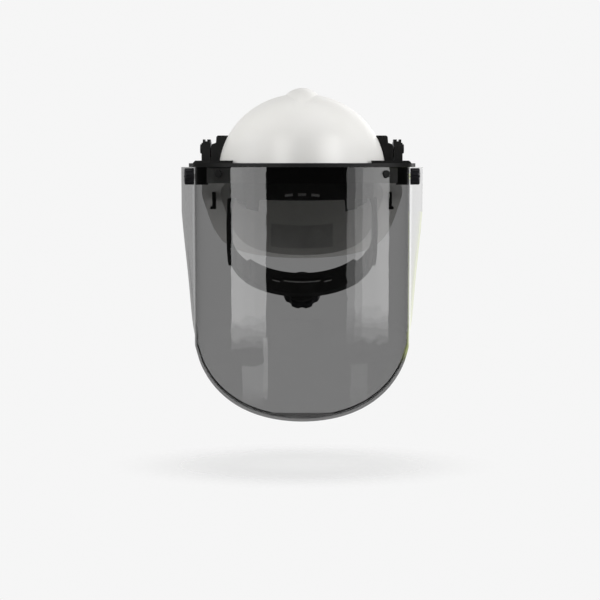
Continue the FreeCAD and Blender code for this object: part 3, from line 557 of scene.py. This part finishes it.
def strap_curve(name):
    """A function from 0 to 1 along a crown strap's middle, giving point, direction and face normal.

    With it come the direction across the strap and the strap's length.
    """
    to_hat = Matrix.Rotation(HAT_TILT, 3, "X")
    from_hat = to_hat.inverted()
    points = [to_hat @ point for point in world_points(name)]
    base = min(point.z for point in points)
    feet = [point for point in points if point.z < base + FOOT_HEIGHT]
    right = [point for point in feet if point.x > 0]
    left = [point for point in feet if point.x < 0]
    foot_a = sum(right, Vector()) / len(right)
    foot_b = sum(left, Vector()) / len(left)
    middle = (foot_a + foot_b) / 2
    span = (foot_a - foot_b) / 2
    rise = Vector((0, 0, max(point.z for point in points) - base - STRAP_THICK / 2))
    width = from_hat @ span.cross(Vector((0, 0, 1))).normalized()

    def at(share):
        t = math.pi * share
        point = from_hat @ (middle + span * math.cos(t) + rise * math.sin(t))
        along = (from_hat @ (-span * math.sin(t) + rise * math.cos(t))).normalized()
        return point, along, width.cross(along).normalized()

    marks = [at(step / LENGTH_STEPS)[0] for step in range(LENGTH_STEPS + 1)]
    length = sum((end - start).length for start, end in zip(marks, marks[1:]))
    return at, width, length


PROFILE_POINTS = 13
EDGE_ROUND = 0.05          # the share of the half width in which the edge rounds off
EDGE_THICK = 0.45          # shares of the half thickness: at the very edge,
BODY_THICK = 0.43          # what the webbing's body adds,
SELVEDGE_THICK = 0.12      # and what the selvedge adds
SELVEDGE = (0.72, 0.97)    # where the selvedge lies, in shares of the half width


def strap_profile():
    """Half thickness at points across the webbing: full selvedges and a slightly thinner middle."""
    rows = []
    for index in range(PROFILE_POINTS):
        across = index / (PROFILE_POINTS - 1) * 2 - 1
        edge = min(1.0, (1 - abs(across)) / EDGE_ROUND)
        selvedge = SELVEDGE_THICK if SELVEDGE[0] < abs(across) < SELVEDGE[1] else 0.0
        rows.append((across, STRAP_THICK / 2 * (EDGE_THICK + BODY_THICK * math.sqrt(edge) + selvedge)))
    return rows


def tube_faces(base, steps, count):
    """The quads between steps + 1 rings of count vertices, the first of which is number base."""
    faces = []
    for step in range(steps):
        start = base + step * count
        for index in range(count):
            other = (index + 1) % count
            faces.append((start + index, start + other, start + count + other, start + count + index))
    return faces


def make_webbing(name, node, material, thread):
    """A woven crown strap on its CAD solid's own curve, with a stitched line along each edge."""
    at, width, length = strap_curve(node)
    profile = strap_profile()
    ring = profile + [(across, -half) for across, half in reversed(profile)]
    vertices = []
    uvs = []
    for step in range(STRAP_STEPS + 1):
        share = step / STRAP_STEPS
        point, _, normal = at(share)
        for across, half in ring:
            vertices.append(point + width * (across * STRAP_WIDTH / 2) + normal * half)
            uvs.append((across * STRAP_WIDTH / 2, share * length))
    count = len(ring)
    faces = tube_faces(0, STRAP_STEPS, count)
    faces.append(tuple(reversed(range(count))))
    faces.append(tuple(STRAP_STEPS * count + index for index in range(count)))
    strap = new_piece(name, vertices, faces, material)
    layer = strap.data.uv_layers.new(name="weave")
    for loop in strap.data.loops:
        layer.data[loop.index].uv = uvs[loop.vertex_index]
    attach(strap, "hat")
    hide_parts(node)
    make_stitches(name + "_stitches", at, width, length, thread)


STITCH_PITCH = 0.0036
STITCH_SHARES = (0.15, 0.80)   # where a stitch starts and ends in its pitch
STITCH_LINE = 0.0075           # from the strap's middle to a line of stitches
STITCH_LEVEL = 0.47            # from the strap's middle to the stitches, as a share of its thickness
STITCH_HALF_WIDTH = 0.00022
STITCH_RISE = 0.00026
STITCH_SECTIONS = ((0.0, 0.5), (0.3, 1.0), (0.7, 1.0), (1.0, 0.5))   # place along it, share of its size
CROSS_PLACES = (0.045, 0.955)  # the boxed crosses, as shares of the strap's length
CROSS_HALF = 0.006
CROSS_STITCHES = 5             # in each side and diagonal of a box
CROSS_SHARES = (0.12, 0.88)    # where a stitch starts and ends in its part of a side


def make_stitches(name, at, width, length, material):
    """Short raised threads: a line near each edge, and a boxed cross where the strap folds at its feet."""
    vertices = []
    faces = []

    def spot(share, across, face):
        point, _, normal = at(share)
        return point + width * across + normal * face * (STRAP_THICK * STITCH_LEVEL), normal * face

    def stitch(start_place, end_place, face):
        start = spot(*start_place, face)[0]
        end, normal = spot(*end_place, face)
        along = (end - start).normalized()
        side = along.cross(normal).normalized() * STITCH_HALF_WIDTH
        lift = normal * STITCH_RISE
        base = len(vertices)
        for share, size in STITCH_SECTIONS:
            place = start.lerp(end, share)
            vertices.extend(place + offset * size for offset in (-side, lift, side, -lift))
        last = len(vertices) - 4
        faces.extend(tube_faces(base, len(STITCH_SECTIONS) - 1, 4))
        faces.append((base + 3, base + 2, base + 1, base))
        faces.append((last, last + 1, last + 2, last + 3))

    count = int(length / STITCH_PITCH)
    for face in (-1, 1):
        for across in (-STITCH_LINE, STITCH_LINE):
            for index in range(1, count - 1):
                start, end = [(index + share) / count for share in STITCH_SHARES]
                stitch((start, across), (end, across), face)
        for foot in CROSS_PLACES:
            low, high = foot - CROSS_HALF / length, foot + CROSS_HALF / length
            places = ((low, -CROSS_HALF), (low, CROSS_HALF), (high, CROSS_HALF), (high, -CROSS_HALF))
            corners = [Vector(place) for place in places]
            runs = [(corners[index], corners[(index + 1) % 4]) for index in range(4)]
            runs += [(corners[0], corners[2]), (corners[1], corners[3])]
            for first, last in runs:
                for part in range(CROSS_STITCHES):
                    start, end = [first.lerp(last, (part + share) / CROSS_STITCHES) for share in CROSS_SHARES]
                    stitch(start, end, face)
    threads = new_piece(name, vertices, faces, material)
    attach(threads, "hat")


def make_fabric():
    make_sweat_pad()
    webbing = woven("webbing_black", (0.010, 0.010, 0.011), (0.040, 0.040, 0.042), 900.0, 700.0, 0.6)
    thread = woven("thread_grey", grey(0.05), grey(0.12), 3000.0, 3000.0, 0.3)
    make_webbing("crown_webbing_a", "crown_strap_a", webbing, thread)
    make_webbing("crown_webbing_b", "crown_strap_b", webbing, thread)


# ---- Studio ----------------------------------------------------------------------------------
CAMERA_DISTANCE = 1.70     # ahead of the pivots, level with the carrier's rim
CAMERA_SIDE = -0.0024
CAMERA_PITCH = math.radians(5.4)
CAMERA_LENS = 85.7
SENSOR_WIDTH = 36.0


def place_camera():
    data = bpy.data.cameras.new("camera")
    data.lens = CAMERA_LENS
    data.sensor_width = SENSOR_WIDTH
    camera = bpy.data.objects.new("camera", data)
    camera.location = (CAMERA_SIDE, -CAMERA_DISTANCE, rim_z)
    camera.rotation_euler = (math.pi / 2 - CAMERA_PITCH, 0.0, 0.0)
    bpy.context.scene.collection.objects.link(camera)
    bpy.context.scene.camera = camera


def white_background(tree, strength):
    """A white Background shader; strength is a socket."""
    node = tree.nodes.new("ShaderNodeBackground")
    node.inputs["Color"].default_value = (*grey(1.0), 1.0)
    tree.links.new(strength, node.inputs["Strength"])
    return node.outputs["Background"]


# A direction is a unit vector. Pairs in x, y or z say where a change starts and where it ends.
BACKGROUND = 0.92
ROOM_FILL = 0.52           # what lights the object from all round
ROOM_BELOW = 1.1           # what a white floor returns from below
ROOM_LEVELS = (-0.5, 0.1)  # from the floor's light to the room's, in z
ROOM_DARK = 0.025          # what the front of the visor mirrors between the boxes
BACKDROP_SIDES = (0.50, 1.5)    # how bright the mirrored backdrop is to the wearer's right and left
BACKDROP_TURN = (-0.10, 0.25)   # from the one to the other, in x
BACKDROP_FROM = (0.72, 0.90)    # from the dark room to the backdrop behind the hat, in y
CEILING = 0.55             # what surfaces mirror straight above
CEILING_FROM = (0.25, 0.85)     # from the dark room to the ceiling, in z


def set_world():
    """A white backdrop; surfaces mirror a dark room in front and the lit backdrop behind."""
    world = bpy.data.worlds.new("studio")
    world.use_nodes = True
    tree = world.node_tree
    shown = tree.nodes["Background"]
    shown.inputs["Color"].default_value = (*grey(BACKGROUND), 1.0)
    x, y, z = split(tree, tree.nodes.new("ShaderNodeTexCoord").outputs["Generated"])
    fill = white_background(tree, spread(tree, z, ROOM_BELOW, ROOM_FILL, *ROOM_LEVELS))
    behind = spread(tree, y, 0.0, 1.0, *BACKDROP_FROM)
    sideways = spread(tree, x, *BACKDROP_SIDES, *BACKDROP_TURN)
    above = spread(tree, z, 0.0, CEILING, *CEILING_FROM)
    backdrop = maths(tree, "MULTIPLY", behind, sideways)
    room = maths(tree, "ADD", maths(tree, "MAXIMUM", backdrop, above), ROOM_DARK)
    mirrored = white_background(tree, room)
    path = tree.nodes.new("ShaderNodeLightPath")
    unseen = mixed(tree, path.outputs["Is Glossy Ray"], fill, mirrored)
    everything = mixed(tree, path.outputs["Is Camera Ray"], unseen, shown.outputs["Background"])
    tree.links.new(everything, tree.nodes["World Output"].inputs["Surface"])
    bpy.context.scene.world = world
    bpy.context.scene.view_settings.view_transform = "Standard"


FLOOR_RADIUS = 1.6
FLOOR_SHARE = 0.31         # how much of the floor's own shade shows over the backdrop, in the middle
FLOOR_SHARE_OUT = 0.52     # and further out, where the shade is weaker
FLOOR_SWELL = (0.0, 0.8)   # where that change starts and ends, from the oval's middle at 0 to its rim at 1
FLOOR_FADE = (0.30, 1.0)   # and where the shade fades out
SHADOW_HALF_WIDTH = 0.240  # beyond this oval the floor is as bright as the backdrop
SHADOW_HALF_DEPTH = 0.135
SHADOW_MIDDLE = -0.030     # the oval's middle is a little ahead of the pivots


def floor_pale():
    """A matt floor that shows only inside an oval, where it takes the object's soft shadow."""
    material, tree, shader = new_material("floor_pale")
    space = object_space(tree)
    paint(tree, shader, noise(tree, space, scale=6.0), grey(0.80), grey(0.81))
    shader.inputs["Roughness"].default_value = 1.0
    shader.inputs["Specular IOR Level"].default_value = 0.0
    oval = tree.nodes.new("ShaderNodeVectorMath")
    oval.operation = "MULTIPLY"
    oval.inputs[1].default_value = (1.0 / SHADOW_HALF_WIDTH, 1.0 / SHADOW_HALF_DEPTH, 1.0)
    tree.links.new(space, oval.inputs[0])
    distance = tree.nodes.new("ShaderNodeVectorMath")
    distance.operation = "LENGTH"
    tree.links.new(oval.outputs["Vector"], distance.inputs[0])
    out = distance.outputs["Value"]
    swell = spread(tree, out, FLOOR_SHARE, FLOOR_SHARE_OUT, *FLOOR_SWELL, "SMOOTHSTEP")
    fade = spread(tree, out, 1.0, 0.0, *FLOOR_FADE, "SMOOTHSTEP")
    tree.links.new(maths(tree, "MULTIPLY", swell, fade), shader.inputs["Alpha"])
    return material


def make_floor():
    mesh = bpy.data.meshes.new("floor")
    shape = bmesh.new()
    bmesh.ops.create_circle(shape, cap_ends=True, segments=96, radius=FLOOR_RADIUS)
    shape.to_mesh(mesh)
    shape.free()
    mesh.materials.append(floor_pale())
    floor = bpy.data.objects.new("floor", mesh)
    floor.location = (0.0, SHADOW_MIDDLE, floor_z)
    bpy.context.scene.collection.objects.link(floor)


def area_light(name, location, rotation, size, radiance, lit=True, mirrored=False):
    """A rectangular lamp of even radiance; lit and mirrored say which surfaces it lights, matt or glossy."""
    data = bpy.data.lights.new(name, "AREA")
    data.shape = "RECTANGLE"
    data.size, data.size_y = size
    data.energy = radiance * math.pi * data.size * data.size_y
    light = bpy.data.objects.new(name, data)
    light.location = location
    light.rotation_euler = rotation
    light.visible_camera = False
    light.visible_diffuse = lit
    light.visible_glossy = mirrored
    bpy.context.scene.collection.objects.link(light)


BOX_DISTANCE = 1.3
BOX_CENTRE_Y = -0.1        # the boxes stand round a point near the front of the hat
FADE_STEPS = 5


def strip_box(name, edges, radiances, low, high, fade):
    """An upright softbox in strips, which only shows as a reflection and fades out at its foot.

    The edges are azimuths in degrees, 0 in front and positive towards +X; low and high are from the rim.
    """
    levels = [(low, high, 1.0)]
    for step in range(FADE_STEPS):
        top = low - fade * step / FADE_STEPS
        levels.append((top - fade / FADE_STEPS, top, 1.0 - (step + 1) / (FADE_STEPS + 1)))
    for index, (start, end, radiance) in enumerate(zip(edges, edges[1:], radiances)):
        t = math.radians((start + end) / 2)
        x = BOX_DISTANCE * math.sin(t)
        y = BOX_CENTRE_Y - BOX_DISTANCE * math.cos(t)
        width = 2 * BOX_DISTANCE * math.tan(math.radians(abs(end - start)) / 2)
        for step, (foot, top, share) in enumerate(levels):
            strip = "%s_%d_%d" % (name, index, step)
            place = (x, y, rim_z + (foot + top) / 2)
            area_light(strip, place, (math.pi / 2, 0.0, t), (width, top - foot), radiance * share, lit=False,
                       mirrored=True)


FILL_HEIGHT = 0.35         # the fill lamps' middle, above the rim
FILL_DISTANCE = 1.4
FILL_AZIMUTH = 68.0


def light_studio():
    """Softboxes that the visor mirrors, and lamps that light what is matt.

    Left and right in their names are a viewer's, who stands in front of the hat.
    """
    strip_box("left_box", (-22.0, -30.0, -39.0, -50.0), (3.8, 4.1, 4.3), low=-0.295, high=1.0, fade=0.055)
    strip_box("right_box", (28.0, 34.0, 40.0, 54.0, 70.0), (1.5, 2.8, 4.1, 4.3), low=-0.275, high=1.0,
              fade=0.065)
    strip_box("left_streak", (-21.0, -24.0), (1.5,), low=-0.43, high=-0.33, fade=0.02)
    strip_box("left_low", (-24.0, -40.0), (1.1,), low=-0.43, high=-0.385, fade=0.04)
    strip_box("right_low", (31.0, 45.0), (0.5,), low=-0.43, high=-0.38, fade=0.05)
    area_light("overhead", (0.1, 0.55, 1.5), (math.radians(-20.0), 0.0, 0.0), size=(1.0, 0.8), radiance=2.2)
    ahead = (0.0, -2.4, rim_z + FILL_HEIGHT)
    area_light("front_fill", ahead, (math.radians(84.0), 0.0, 0.0), size=(2.2, 1.4), radiance=0.25)
    for name, side, radiance in (("left_fill", -1.0, 2.8), ("right_fill", 1.12, 3.4)):
        t = math.radians(FILL_AZIMUTH * side)
        place = (FILL_DISTANCE * math.sin(t), -FILL_DISTANCE * math.cos(t), rim_z + FILL_HEIGHT)
        area_light(name, place, (math.radians(80.0), 0.0, t), size=(1.2, 1.0), radiance=radiance)


dress_cad_nodes()
make_fabric()
place_camera()
set_world()
make_floor()
light_studio()
